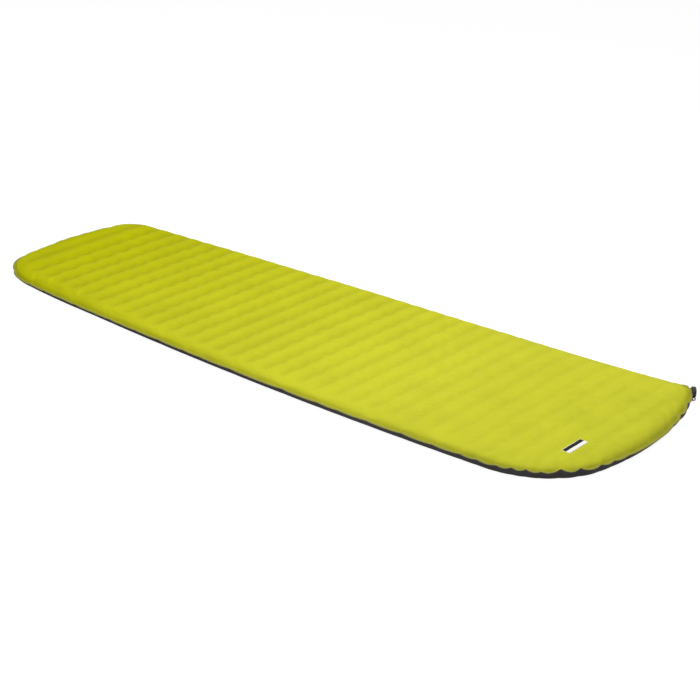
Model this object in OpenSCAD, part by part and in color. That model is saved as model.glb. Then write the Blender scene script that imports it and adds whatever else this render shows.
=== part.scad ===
// Self-inflating sleeping pad: two coated cloth sheets welded round the rim over a slotted foam core,
// with a twist valve in one corner and a blank label. Millimetres. X runs from foot to head,
// Y across the pad, Z up; the pad lies on the floor at Z = 0.

/* [Plan outline] */
// Length from the foot edge to the head edge of the welded rim
pad_length = 1830; // [1700:10:1960]
// Rim radius of the foot end
foot_end_radius = 895; // [880:5:910]
// Rim radius of the head end
head_end_radius = 920; // [900:5:945]
// Rim radius of the side that faces -Y
near_side_radius = 9200; // [8800:100:10200]
// Radius of the foot corner on -Y
foot_near_radius = 160; // [156:1:164]
// Setback of that corner's centre from the foot edge
foot_near_setback = 175; // [172:1:178]
// Offset of that corner's centre from the middle line
foot_near_offset = 101; // [98:1:104]
// Radius of the foot corner on +Y
foot_far_radius = 97; // [93:1:101]
// Setback of that corner's centre from the foot edge
foot_far_setback = 115; // [112:1:118]
// Offset of that corner's centre from the middle line
foot_far_offset = 184; // [181:1:187]
// Radius of the head corner on -Y
head_near_radius = 214; // [210:1:218]
// Setback of that corner's centre from the head edge
head_near_setback = 227; // [225:1:231]
// Offset of that corner's centre from the middle line
head_near_offset = 102; // [98:1:106]

/* [Valve corner] */
// Radius of both ends of the slanted valve edge
valve_corner_radius = 60; // [58:1:66]
// Setback of the outer end's centre from the head edge
valve_far_setback = 125; // [123:1:127]
// Offset of the outer end's centre from the middle line
valve_far_offset = 313; // [311:1:315]
// Setback of the inner end's centre from the head edge
valve_end_setback = 102; // [100:1:104]
// Offset of the inner end's centre from the middle line
valve_end_offset = 284; // [282:1:286]
// Height of the valve axis over the floor
valve_height = 22; // [20.5:0.5:22]

/* [Sheets] */
// Thickness of the filled pad at its crown
pad_thickness = 31; // [29:0.5:34]
// Height of the welded rim over the floor
seam_height = 13; // [11:0.5:14]
// Thickness of each coated sheet
sheet = 0.6; // [0.4:0.1:0.8]
// Width of the welded rim
weld_width = 10; // [8:0.5:12]
// Distance from the rim edge to the shoulder of the drawn-in side
shoulder_inset = 22; // [20:1:25]
// Share of the side's rise that is reached at the shoulder
shoulder_rise = 0.74; // [0.68:0.01:0.78]
// Distance from the rim edge to the flat top
crown_inset = 45; // [42:1:48]
// Distance from the rim edge to the bottom sheet's turn onto the floor
belly_inset = 14; // [13:0.5:18]
// Lift of the bottom sheet at that turn
bottom_lift = 0.8; // [0.4:0.1:1.6]

/* [Cross channels] */
// Number of cross channels that are cut if the pad is long enough
channels = 32; // [28:1:32]
// Distance from channel to channel
channel_pitch = 52; // [50:0.5:52]
// Distance from the head edge to the last channel
channel_head = 76; // [74:1:80]
// Least distance from the foot edge to a channel
channel_foot = 130; // [128:1:180]
// Depth of a channel
channel_depth = 3; // [1.5:0.5:4]
// Half width of a channel
channel_half = 14; // [10:1:16]

/* [Foam core] */
// Distance from the rim edge to the foam edge
foam_inset = 32; // [31:1:38]
// Air between foam and sheets
foam_gap = 0.3; // [0.2:0.1:0.6]
// Length of a die-cut slot
slot_length = 62; // [40:1:72]
// Width of a die-cut slot
slot_width = 8; // [5:1:9]
// Distance from slot to slot along a channel
slot_pitch = 92; // [84:1:110]
// Solid foam kept outside the slots
slot_margin = 40; // [30:1:60]

/* [Label] */
// Length of the blank label across the pad
label_length = 78; // [60:1:90]
// Width of the blank label
label_width = 22; // [16:1:23]
// Thickness of the blank label
label_sheet = 0.5; // [0.3:0.1:0.8]
// Offset of the label from the middle line
label_offset = 131; // [110:1:140]

/* [Valve] */
// Half length of the weld fin
fin_half = 18; // [17:0.5:18]
// Half height of the weld fin in its middle
fin_height = 8; // [7.8:0.1:8.4]
// Half height of the weld fin halfway to its tips
fin_shoulder = 6.4; // [6:0.1:6.6]
// Half height of the weld fin at its tips
fin_tip = 0.8; // [0.6:0.1:1]
// Depth of the weld fin inside the rim
fin_depth = 14; // [13:0.5:15]
// Stand of the fin's face outside the rim
fin_stand = 0.8; // [0.6:0.1:1]
// Gap between the fin and each sheet
fin_gap = 0.15; // [0.1:0.05:0.2]
// Radius of the air bore
bore_radius = 5.5; // [5.2:0.1:5.6]
// Outer radius of the inner spigot
spigot_radius = 7.5; // [7.3:0.1:7.6]
// Length of the inner spigot past the fin
spigot_length = 6; // [5:0.5:7]
// Outer radius of the stem
stem_radius = 8.5; // [8.4:0.1:8.6]
// Outward reach of the stem's mouth
stem_reach = 6; // [5.8:0.1:6.2]
// Depth of the three key slots in the bore
key_depth = 0.8; // [0.6:0.1:0.9]
// Width of the three key slots in the bore
key_width = 1.7; // [1.6:0.1:1.9]
// Section radius of the stem's seal ring
ring_section = 0.7; // [0.6:0.05:0.75]
// Outer radius of the twist knob
knob_radius = 13.5; // [13:0.25:14]
// Outward reach of the knob's end face
knob_reach = 11; // [10.8:0.1:11.4]
// Gap between the knob's rim and the fin's face
knob_gap = 0.6; // [0.5:0.1:0.8]
// Inner radius of the knob's skirt
skirt_radius = 9; // [8.95:0.05:9.2]
// Number of finger flutes round the knob
flutes = 18; // [12:1:24]
// Radius of a finger flute
flute_radius = 1.2; // [0.9:0.1:1.3]
// Number of air vents in the knob's end
vents = 6; // [4:1:8]
// Radius of an air vent
vent_radius = 1.2; // [0.8:0.1:1.2]
// Radius of the plunger's shaft
shaft_radius = 2; // [1.8:0.1:2.1]
// Radius of the plunger's boss in the knob
boss_radius = 3.2; // [3:0.1:3.4]
// Radial gap of the knob on the boss
boss_gap = 0.2; // [0.15:0.05:0.3]
// Radius of the plunger's head
head_radius = 7.4; // [7.2:0.1:7.6]
// Thickness of the plunger's head
head_sheet = 1.2; // [1:0.1:1.2]
// Lift of the plunger from shut to open
lift = 4; // [3:0.25:4]
// Radius of the hole in the hanging eye
eye_radius = 2.4; // [2:0.1:2.5]
// Wall of the hanging eye round its hole
eye_wall = 2.2; // [2:0.1:2.4]
// Thickness of the hanging eye
eye_sheet = 2.4; // [2:0.2:3]
// Angle at which the hanging eye droops beside the knob, in degrees
eye_droop = 35; // [0:5:40]

/* [Hidden] */
$fn = 64;
half = pad_length / 2;
// Straight edges are arcs of a very large radius
straight = 200000;

// Corner circles in turn from the near head corner, as x, y, radius
corners = [[half - head_near_setback, -head_near_offset, head_near_radius],
           [half - valve_end_setback, valve_end_offset, valve_corner_radius],
           [half - valve_far_setback, valve_far_offset, valve_corner_radius],
           [-half + foot_far_setback, foot_far_offset, foot_far_radius],
           [-half + foot_near_setback, -foot_near_offset, foot_near_radius]];
edge_radius = [head_end_radius, straight, straight, foot_end_radius, near_side_radius];

// Centre of the arc of radius r that rests inside on corner circles a and b
function arc_centre(a, b, r) =
    let (p = r - a[2], q = r - b[2], d = [b[0] - a[0], b[1] - a[1]], l = norm(d))
    let (t = (p * p - q * q + l * l) / (2 * l), h = sqrt(p * p - t * t))
    [a[0] + (d[0] * t - d[1] * h) / l, a[1] + (d[1] * t + d[0] * h) / l];
function bearing(c, p) = let (a = atan2(p[1] - c[1], p[0] - c[0])) a < -120 ? a + 360 : a;

centres = [for (i = [0:4]) arc_centre(corners[i], corners[(i + 1) % 5], edge_radius[i])];
arc_from = [for (i = [0:4]) let (a = bearing(centres[i], corners[i])) i > 2 && a < 0 ? a + 360 : a];
arc_to = [for (i = [0:4]) let (a = bearing(centres[i], corners[(i + 1) % 5])) i > 2 && a < 0 ? a + 360 : a];

function arc(c, r, from, to, n) =
    [for (k = [0:n]) let (a = from + (to - from) * k / n) [c[0] + r * cos(a), c[1] + r * sin(a), a]];
// The outline moved in by d: points with the bearing of their outward normal
function outline(d) = [for (i = [0:4]) each concat(
    arc(corners[i], corners[i][2] - d, i == 0 ? arc_to[4] - 360 : arc_to[i - 1], arc_from[i], 12),
    arc(centres[i], edge_radius[i] - d, arc_from[i], arc_to[i], 16))];
function flat_points(d) = [for (p = outline(d)) [p[0], p[1]]];

crown = outline(crown_inset);
far_points = [for (p = crown) if (p[2] >= 0 && p[2] <= 180) p];
near_points = [for (p = crown) if (p[2] < 0 || p[2] > 180) [p[0], p[1], p[2] > 180 ? p[2] - 360 : p[2]]];
far_y = [for (p = far_points) [p[0], p[1]]];
far_turn = [for (p = far_points) [p[0], p[2]]];
near_y = [for (p = near_points) [p[0], p[1]]];
near_turn = [for (p = near_points) [p[0], p[2]]];

// The valve stands in the middle of the slanted edge
valve_turn = (arc_from[1] + arc_to[1]) / 2;
valve_out = [cos(valve_turn), sin(valve_turn)];
valve_side = [-sin(valve_turn), cos(valve_turn)];
valve_mid = [(corners[1][0] + corners[2][0]) / 2, (corners[1][1] + corners[2][1]) / 2];
valve_at = valve_mid + valve_corner_radius * valve_out;

// Rows across the pad where the sheets have their points
function sorted(v) = len(v) < 2 ? v : let (m = v[floor(len(v) / 2)])
    concat(sorted([for (x = v) if (x < m) x]), [for (x = v) if (x == m) x],
           sorted([for (x = v) if (x > m) x]));
groove_rows = [for (k = [0:channels - 1]) let (x = half - channel_head - k * channel_pitch)
    if (x + half > channel_foot) x];
fin_rows = [for (s = [-1, -0.5, 0, 0.5, 1])
    (valve_at - crown_inset * valve_out)[0] + s * fin_half * valve_side[0]];
turn_radius = valve_corner_radius - crown_inset;
turn_rows = concat(
    [for (k = [0.02, 0.34, 0.67])
        corners[2][0] + turn_radius * cos(arc_from[2] + (valve_turn - arc_from[2]) * k)],
    [for (k = [0.5, 1]) corners[1][0] + turn_radius * cos(valve_turn + (arc_to[0] - valve_turn) * k)]);
head_rows = [for (a = [1.25:2.5:11.25]) centres[0][0] + (head_end_radius - crown_inset) * cos(a)];
foot_rows = [for (a = [2:4:22]) centres[3][0] - (foot_end_radius - crown_inset) * cos(a)];
set_rows = concat(groove_rows, fin_rows, turn_rows, head_rows, foot_rows);
bank_rows = [for (g = groove_rows, s = [-1, 1]) let (x = g + s * channel_half)
    if (min([for (r = set_rows) abs(r - x)]) > 3) x];
rim_rows = sorted(set_rows);
rows = sorted(concat(set_rows, bank_rows));
place = [for (r = rim_rows) search(r, rows)[0]];

// Depth of the channels below the crown at station x
function channel(x) = let (g = min([for (r = groove_rows) abs(r - x)]))
    g >= channel_half ? 0 : channel_depth * (1 - g / channel_half);
// A point of a ring at inset d on row x, on the far or the near side
function ring(x, far, d) =
    let (y = lookup(x, far ? far_y : near_y), a = lookup(x, far ? far_turn : near_turn))
    [x + (crown_inset - d) * cos(a), y + (crown_inset - d) * sin(a)];
function at_fin(x, far) = far && min([for (r = fin_rows) abs(r - x)]) < 0.001;
// Half opening of the rim where the weld fin sits
function opening(x, far) = !at_fin(x, far) ? 0 :
    let (s = abs((x - (valve_at - crown_inset * valve_out)[0]) / valve_side[0]) / fin_half)
    fin_gap + (s < 0.25 ? fin_height : s < 0.75 ? fin_shoulder : fin_tip);
// The rim rises towards the valve corner
function seam(p) = let (d = norm(p - valve_at))
    seam_height + (valve_height - seam_height)
    * (d < fin_half + 3 ? 1 : exp(-pow((d - fin_half - 3) / 110, 2)));

top_inner = pad_thickness - sheet;
shoulder_top = seam_height + shoulder_rise * (top_inner - seam_height);
function top_z(x, far, k) =
    k == 3 ? top_inner - channel(x) :
    k == 2 ? max(shoulder_top,
                 at_fin(x, far) ? valve_height + opening(x, far) : 0) :
    seam(ring(x, far, 0)) + opening(x, far);
function bottom_z(x, far, k) =
    k == 3 ? sheet :
    k == 2 ? sheet + bottom_lift :
    seam(ring(x, far, 0)) - opening(x, far);

top_insets = [0, weld_width, shoulder_inset, crown_inset];
bottom_insets = [0, weld_width, belly_inset, crown_inset];
// Points of one face of a sheet: the crown ring on every field row, then the outer rings on the rim rows
function skin(field, top, dz) = concat(
    [for (far = [false, true], x = field) let (p = ring(x, far, crown_inset))
        [p[0], p[1], (top ? top_z(x, far, 3) : bottom_z(x, far, 3)) + dz]],
    [for (k = [2, 1, 0], far = [false, true], x = rim_rows)
        let (p = ring(x, far, (top ? top_insets : bottom_insets)[k]))
        [p[0], p[1], (top ? top_z(x, far, k) : bottom_z(x, far, k)) + dz]]);
// Faces of one skin, seen from above: the field, the seams between rings and the two ends
function skin_faces(n, m, at) =
    let (f = function (far, i) far * n + i, r = function (k, far, j) 2 * n + (2 - k) * 2 * m + far * m + j)
    concat(
    [for (i = [0:n - 2]) each [[f(0, i), f(1, i), f(1, i + 1)], [f(0, i), f(1, i + 1), f(0, i + 1)]]],
    [for (j = [0:m - 2]) each concat(
        [[r(2, 0, j), f(0, at[j + 1]), r(2, 0, j + 1)], [r(2, 1, j), r(2, 1, j + 1), f(1, at[j + 1])]],
        [for (i = [at[j]:at[j + 1] - 1]) each [[r(2, 0, j), f(0, i), f(0, i + 1)],
                                               [r(2, 1, j), f(1, i + 1), f(1, i)]]])],
    [for (k = [1, 0], j = [0:m - 2]) each [
        [r(k, 0, j), r(k + 1, 0, j), r(k + 1, 0, j + 1)], [r(k, 0, j), r(k + 1, 0, j + 1), r(k, 0, j + 1)],
        [r(k, 1, j), r(k, 1, j + 1), r(k + 1, 1, j + 1)], [r(k, 1, j), r(k + 1, 1, j + 1), r(k + 1, 1, j)]]],
    [[r(2, 0, 0), r(2, 1, 0), f(1, 0)], [r(2, 0, 0), f(1, 0), f(0, 0)],
     [r(2, 0, m - 1), f(0, n - 1), f(1, n - 1)], [r(2, 0, m - 1), f(1, n - 1), r(2, 1, m - 1)]],
    [for (k = [1, 0]) each [
        [r(k, 0, 0), r(k, 1, 0), r(k + 1, 1, 0)], [r(k, 0, 0), r(k + 1, 1, 0), r(k + 1, 0, 0)],
        [r(k, 0, m - 1), r(k + 1, 0, m - 1), r(k + 1, 1, m - 1)],
        [r(k, 0, m - 1), r(k + 1, 1, m - 1), r(k, 1, m - 1)]]]);
function flipped(faces, shift) = [for (t = faces) [t[0] + shift, t[2] + shift, t[1] + shift]];
// The cut edge of a sheet, between its upper and its lower skin
function edge_faces(n, m) =
    let (loop = concat([for (j = [0:m - 1]) 2 * n + 4 * m + j], [for (j = [m - 1:-1:0]) 2 * n + 5 * m + j]))
    let (all = 2 * n + 6 * m, c = len(loop))
    [for (i = [0:c - 1]) let (a = loop[i], b = loop[(i + 1) % c])
        each [[a, b, b + all], [a, b + all, a + all]]];

// A sheet of even thickness between its inner skin and its outer skin
module sheet_form(field, at, top) {
    n = len(field);
    m = len(rim_rows);
    faces = skin_faces(n, m, at);
    upper = skin(field, top, top ? sheet : 0);
    lower = skin(field, top, top ? 0 : -sheet);
    polyhedron(concat(upper, lower), concat(faces, flipped(faces, len(upper)), edge_faces(n, m)),
               convexity = 10);
}

module top_sheet() {
    color("YellowGreen") sheet_form(rows, place, true);
}

module bottom_sheet() {
    color("DimGray") sheet_form(rim_rows, [for (i = [0:len(rim_rows) - 1]) i], false);
}

foam_floor = sheet + foam_gap + bottom_lift * (crown_inset - foam_inset) / (crown_inset - belly_inset);
foam_top = top_inner - channel_depth - foam_gap;
// Height of the foam's bevelled edge, under the slope of the top sheet
foam_edge = shoulder_top + (foam_top + foam_gap - shoulder_top) * (foam_inset - shoulder_inset)
    / (crown_inset - shoulder_inset) - 2 * foam_gap;
loaf_top = top_inner - foam_gap;
loaf_base = slot_width / 2 + 1;

// Foam slab with rows of slots, and a low loaf of foam between each pair of channels
module foam_core() {
    color("Khaki") {
        difference() {
            union() {
                translate([0, 0, foam_floor])
                    linear_extrude(foam_edge - foam_floor)
                        polygon(flat_points(foam_inset));
                translate([0, 0, foam_edge - 1])
                    linear_extrude(foam_top - foam_edge + 1)
                        polygon(flat_points(crown_inset + 1));
            }
            for (k = [0:len(groove_rows) - 1])
                translate([0, 0, foam_floor - 1])
                    linear_extrude(foam_top - foam_floor + 2)
                        slot_row(k);
        }
        for (k = [0:len(groove_rows) - 2])
            loaf(groove_rows[k + 1], groove_rows[k]);
    }
}

module slot_row(k) {
    x = groove_rows[k];
    near = lookup(x, near_y) + slot_margin;
    far = lookup(x, far_y) - slot_margin;
    shift = k % 2 == 0 ? 0 : slot_pitch / 2;
    for (j = [-4:4]) {
        y = j * slot_pitch + shift;
        if (y - slot_length / 2 > near && y + slot_length / 2 < far)
            translate([x - slot_width / 2, y - slot_length / 2])
                square([slot_width, slot_length]);
    }
}

module loaf(from, to) {
    near = max(lookup(from, near_y), lookup(to, near_y)) + 4;
    far = min(lookup(from, far_y), lookup(to, far_y)) - 4;
    translate([0, far, 0])
        rotate([90, 0, 0])
            linear_extrude(far - near)
                polygon([[from + loaf_base, foam_top - 1], [to - loaf_base, foam_top - 1],
                         [to - loaf_base, foam_top + 0.3], [to - channel_half, loaf_top],
                         [from + channel_half, loaf_top], [from + loaf_base, foam_top + 0.3]]);
}

label_x = (groove_rows[0] + groove_rows[1]) / 2;

// Blank woven label on the loaf next to the last channel
module label() {
    color("White")
        translate([label_x - label_width / 2, -label_offset - label_length / 2, pad_thickness + 0.05])
            cube([label_width, label_length, label_sheet]);
}

// Local axis of the valve: +Z points out of the pad, -X points up
module on_valve_axis() {
    translate([valve_at[0], valve_at[1], valve_height])
        rotate([0, 0, valve_turn])
            rotate([0, 90, 0])
                children();
}

module tube(r_out, r_in, from, to) {
    translate([0, 0, from])
        difference() {
            cylinder(r = r_out, h = to - from);
            translate([0, 0, -1])
                cylinder(r = r_in, h = to - from + 2);
        }
}

spigot_end = -fin_depth - spigot_length;
groove_from = fin_stand + 0.8;
groove_floor = stem_radius - 1.2;
eye_y = -(knob_radius + 0.5 + eye_radius + eye_wall);
eye_z = fin_stand + eye_radius + eye_wall;

// Moulded body: boat-shaped weld fin, stem, inner spigot and hanging eye
module valve_body() {
    color("DarkSlateGray")
        on_valve_axis()
            difference() {
                union() {
                    translate([0, 0, -fin_depth])
                        linear_extrude(fin_depth + fin_stand)
                            fin_section();
                    translate([0, 0, spigot_end])
                        cylinder(r = spigot_radius, h = spigot_length + 1);
                    translate([0, 0, fin_stand - 0.5])
                        cylinder(r = stem_radius, h = stem_reach - fin_stand + 0.5);
                    hanging_eye();
                }
                translate([0, 0, spigot_end - 1])
                    cylinder(r = bore_radius, h = stem_reach - spigot_end + 2);
                for (k = [0:2])
                    rotate([0, 0, 120 * k])
                        translate([0, -key_width / 2, spigot_end - 1])
                            cube([bore_radius + key_depth, key_width, stem_reach - spigot_end + 2]);
                tube(stem_radius + 1, groove_floor, groove_from, groove_from + 2 * ring_section + 0.2);
            }
}

module fin_section() {
    polygon([[-fin_tip, -fin_half], [-fin_shoulder, -fin_half / 2], [-fin_height, 0],
             [-fin_shoulder, fin_half / 2], [-fin_tip, fin_half], [fin_tip, fin_half],
             [fin_shoulder, fin_half / 2], [fin_height, 0],
             [fin_shoulder, -fin_half / 2], [fin_tip, -fin_half]]);
}

// The eye droops beside the knob; its foot runs along the fin's face
module hanging_eye() {
    rotate([0, -90, eye_droop])
        translate([0, 0, -eye_sheet / 2])
            difference() {
                union() {
                    translate([eye_z, eye_y, 0])
                        cylinder(r = eye_radius + eye_wall, h = eye_sheet);
                    translate([fin_gap, eye_y - eye_radius - eye_wall, 0])
                        cube([eye_z - fin_gap, 2 * (eye_radius + eye_wall), eye_sheet]);
                    translate([fin_gap, eye_y, 0])
                        cube([fin_stand - fin_gap, -eye_y - stem_radius + 2, eye_sheet]);
                }
                translate([eye_z, eye_y, -1])
                    cylinder(r = eye_radius, h = eye_sheet + 2);
            }
}

// Seal ring in the stem's groove, wiped by the knob's skirt
module stem_seal_ring() {
    color("Black")
        on_valve_axis()
            translate([0, 0, groove_from + ring_section + 0.1])
                rotate_extrude()
                    translate([groove_floor + ring_section + 0.03, 0])
                        circle(r = ring_section, $fn = 32);
}

guard_sheet = 1.6;

// Pressed-in grid that keeps foam out of the bore and guides the shaft
module foam_guard() {
    color("Gray")
        on_valve_axis()
            translate([0, 0, spigot_end])
                difference() {
                    cylinder(r = bore_radius - 0.03, h = guard_sheet);
                    translate([0, 0, -1])
                        cylinder(r = shaft_radius + 0.2, h = guard_sheet + 2);
                    for (k = [0:5])
                        rotate([0, 0, 60 * k + 30])
                            translate([(bore_radius + shaft_radius) / 2 + 0.1, 0, -1])
                                cylinder(r = 1, h = guard_sheet + 2, $fn = 32);
                }
}

seal_sheet = 1;
head_from = stem_reach + seal_sheet;
wall_from = head_from + head_sheet + boss_gap;
dish_depth = 1.4;
wall_to = knob_reach - dish_depth;
clip_from = wall_to + 0.15;
clip_sheet = 0.7;
stop_sheet = 0.8;
stop_from = spigot_end - lift - 0.3 - stop_sheet;

// Plunger that carries the seal; its three vanes slide in the bore's key slots
module plunger() {
    color("SlateGray")
        on_valve_axis() {
            translate([0, 0, stop_from - 0.5])
                cylinder(r = shaft_radius, h = head_from - stop_from + 1);
            for (k = [0:2])
                rotate([0, 0, 120 * k])
                    translate([0, -key_width / 2 + 0.25, -12])
                        cube([bore_radius + key_depth - 0.25, key_width - 0.5, 13.5]);
            translate([0, 0, head_from])
                cylinder(r = head_radius, h = head_sheet);
            translate([0, 0, head_from + 0.5])
                cylinder(r = boss_radius, h = clip_from + clip_sheet + 0.2 - head_from - 0.5);
        }
}

// Soft washer that shuts the stem's mouth
module plunger_seal() {
    color("Black")
        on_valve_axis()
            tube(head_radius - 0.2, bore_radius - 0.5, stem_reach + 0.03, head_from - 0.02);
}

// Clip on the shaft that meets the foam guard when the valve is fully open
module stop_clip() {
    color("Silver")
        on_valve_axis()
            tube(shaft_radius + 1.6, shaft_radius + 0.02, stop_from, stop_from + stop_sheet);
}

// Clip on the boss that keeps the knob on the plunger
module knob_clip() {
    color("Silver")
        on_valve_axis()
            tube(boss_radius + 1.4, boss_radius + 0.02, clip_from, clip_from + clip_sheet);
}

chamber_radius = skirt_radius + 1.6;
chamber_from = stem_reach + 0.4;
knob_from = fin_stand + knob_gap;

// Twist knob: fluted dial with a skirt over the stem, vents and a dished end
module twist_knob() {
    color("DarkSlateGray")
        on_valve_axis()
            difference() {
                rotate_extrude()
                    polygon([[skirt_radius, knob_from], [knob_radius - 0.6, knob_from],
                             [knob_radius, knob_from + 0.6], [knob_radius, knob_reach - 1.5],
                             [knob_radius - 0.45, knob_reach - 0.45],
                             [knob_radius - 1.5, knob_reach], [boss_radius + 3.3, knob_reach],
                             [boss_radius + 3.3, wall_to], [boss_radius + boss_gap, wall_to],
                             [boss_radius + boss_gap, wall_from], [chamber_radius, wall_from],
                             [chamber_radius, chamber_from], [skirt_radius, chamber_from]]);
                for (k = [0:flutes - 1])
                    rotate([0, 0, 360 * k / flutes])
                        translate([knob_radius + 0.55 * flute_radius, 0, knob_from - 1])
                            cylinder(r = flute_radius, h = knob_reach - knob_from + 2, $fn = 24);
                for (k = [0:vents - 1])
                    rotate([0, 0, 360 * (k + 0.5) / vents])
                        translate([chamber_radius - vent_radius - 0.5, 0, wall_from - 1])
                            cylinder(r = vent_radius, h = knob_reach - wall_from + 2, $fn = 24);
            }
}

top_sheet();
bottom_sheet();
foam_core();
label();
valve_body();
stem_seal_ring();
foam_guard();
plunger();
plunger_seal();
stop_clip();
knob_clip();
twist_knob();
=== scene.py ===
# %% [markdown]
# # Dressing a self-inflating sleeping pad
# The pad is two coated cloth sheets welded round the rim over a slab of slotted foam, with a twist
# valve in one corner. The imported model already holds every piece in its right place and size. This
# lesson gives the soft pieces their puffed cloth forms and every piece its finish. We load the packed
# model first.

# %% Load the imported part
import math
import bmesh
import bpy
import numpy as np
from mathutils import Matrix, Vector, kdtree


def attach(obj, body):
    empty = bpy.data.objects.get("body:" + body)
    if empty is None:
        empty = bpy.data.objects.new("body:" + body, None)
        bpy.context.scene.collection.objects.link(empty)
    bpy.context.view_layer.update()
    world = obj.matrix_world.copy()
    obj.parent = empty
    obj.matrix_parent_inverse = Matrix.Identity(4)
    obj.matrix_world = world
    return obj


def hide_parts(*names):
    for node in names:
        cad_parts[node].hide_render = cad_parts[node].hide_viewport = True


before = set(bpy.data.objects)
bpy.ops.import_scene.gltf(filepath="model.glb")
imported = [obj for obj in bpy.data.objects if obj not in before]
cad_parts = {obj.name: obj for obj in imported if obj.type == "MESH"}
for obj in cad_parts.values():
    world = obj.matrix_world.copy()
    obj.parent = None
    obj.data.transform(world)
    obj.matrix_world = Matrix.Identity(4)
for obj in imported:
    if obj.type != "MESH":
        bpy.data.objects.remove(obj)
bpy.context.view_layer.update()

MM = 0.001

# %% [markdown]
# ## Camera
# The pad was photographed with a long lens from its near side, a little above the floor. A camera
# could be placed by eye, but its position was worked out from the even rows of channels, so it is
# written here as a bearing, a height angle, a small roll and a distance from a point on the floor.

# %% Camera
BEARING, HEIGHT_ANGLE, ROLL = (math.radians(a) for a in (36.074, 22.763, -3.611))
FLOOR_POINT, DISTANCE = Vector((0.093678, 0.004486, 0)), 4.709303
# The focal length came out in pixels of a picture 700 pixels wide
FOCAL_PIXELS, PICTURE_PIXELS, SENSOR_MM = 1932.538, 700, 36

back = Vector((math.sin(BEARING) * math.cos(HEIGHT_ANGLE),
               -math.cos(BEARING) * math.cos(HEIGHT_ANGLE), math.sin(HEIGHT_ANGLE)))
right = (-back).cross(Vector((0, 0, 1))).normalized()
down = (-back).cross(right)
image_x = math.cos(ROLL) * right + math.sin(ROLL) * down
image_y = math.sin(ROLL) * right - math.cos(ROLL) * down
eye = FLOOR_POINT + back * DISTANCE

camera = bpy.data.objects.new("camera", bpy.data.cameras.new("camera"))
camera.data.sensor_width = SENSOR_MM
camera.data.lens = FOCAL_PIXELS * SENSOR_MM / PICTURE_PIXELS
camera.data.clip_end = 60
axes = (image_x, image_y, back, eye)
camera.matrix_world = Matrix([[v[i] for v in axes] for i in range(3)] + [[0, 0, 0, 1]])
bpy.context.scene.collection.objects.link(camera)
bpy.context.scene.camera = camera
bpy.context.scene.view_settings.view_transform = "Standard"
print("camera at", [round(v, 3) for v in eye], "lens", round(camera.data.lens, 2), "mm")

# %% [markdown]
# ## The rim's outline
# Seen from above, the welded rim is a ring of ten arcs: five corner circles, and a long arc that
# rests on each pair of neighbours. A curve object could be traced by hand, but the arcs are the same
# ones the part was built from, so the cloth lands exactly on the part's rim. Sizes are in millimetres
# until a mesh is made.

# %% The rim's outline
# Corner circles as x, y and radius, and the radius of the long arc that follows each of them
CORNERS = ((688, -102, 214), (813, 284, 60), (790, 313, 60), (-800, 184, 97), (-740, -101, 160))
EDGES = (920, 200000, 200000, 895, 9200)
RIM_STEP = 0.5


def edge_centre(a, b, r):
    """Centre of the arc of radius r that rests inside on corner circles a and b."""
    p, q, dx, dy = r - a[2], r - b[2], b[0] - a[0], b[1] - a[1]
    gap = math.hypot(dx, dy)
    t = (p * p - q * q + gap * gap) / (2 * gap)
    h = math.sqrt(p * p - t * t)
    return a[0] + (dx * t - dy * h) / gap, a[1] + (dy * t + dx * h) / gap


arcs = []
for i, a in enumerate(CORNERS):
    b = CORNERS[(i + 1) % len(CORNERS)]
    cx, cy = edge_centre(a, b, EDGES[i])
    start, end = (math.atan2(p[1] - cy, p[0] - cx) for p in (a, b))
    arcs.append([a[0], a[1], a[2], None, start])
    arcs.append([cx, cy, EDGES[i], start, end])
# A corner starts where the arc before it ends
for k, arc in enumerate(arcs):
    arc[3] = arcs[k - 1][4] if arc[3] is None else arc[3]

turn = arcs[0][3]
stretches = []
for cx, cy, r, start, end in arcs:
    sweep = (end - start) % (2 * math.pi)
    along = np.linspace(0, 1, max(int(r * sweep / RIM_STEP), 2), endpoint=False)
    angle = turn + sweep * along
    stretches.append(np.c_[cx + r * np.cos(angle), cy + r * np.sin(angle), angle])
    turn += sweep
# Every rim point holds x, y and the angle in which the rim faces outwards
rim = np.concatenate(stretches)
steps = np.hypot(*np.diff(np.vstack([rim, rim[:1]])[:, :2], axis=0).T)
rim_s = np.concatenate([[0], np.cumsum(steps)[:-1]])
RIM_LENGTH = float(steps.sum())
print("rim", round(RIM_LENGTH), "mm round; box",
      rim[:, :2].min(0).round(1), rim[:, :2].max(0).round(1))

# %% [markdown]
# ## Places on the rim
# Everything that happens near the weld depends on two things: how far in from the rim a point lies and
# how far along the rim it is. A search tree over the rim's points answers both for any point of the
# plan. A value that changes along the rim is kept as a profile, a list with one number every half
# millimetre. It comes from a few anchors, joined by straight lines and then blurred.

# %% Places on the rim
profile_s = np.arange(0, RIM_LENGTH, RIM_STEP)


def search_tree(points):
    """Tree that finds the nearest of some plan points."""
    tree = kdtree.KDTree(len(points))
    for k, p in enumerate(points):
        tree.insert((p[0], p[1], 0), k)
    tree.balance()
    return tree


rim_tree = search_tree(rim)


def on_plan(xy):
    """For points of the plan: inset from the rim (minus outside), length along the rim, outward angle."""
    near = np.array([rim_tree.find((x, y, 0))[1] for x, y in xy])
    away = xy - rim[near, :2]
    side = away[:, 0] * np.cos(rim[near, 2]) + away[:, 1] * np.sin(rim[near, 2])
    return -np.sign(side) * np.hypot(*away.T), rim_s[near], rim[near, 2]


def rim_length_at(x, y):
    """Length along the rim at its point nearest to x, y."""
    return on_plan(np.array([[x, y]], float))[1][0]


def along_rim(s, profile):
    """Value of a profile at lengths s along the rim."""
    return np.interp(s, profile_s, profile, period=RIM_LENGTH)


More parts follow.
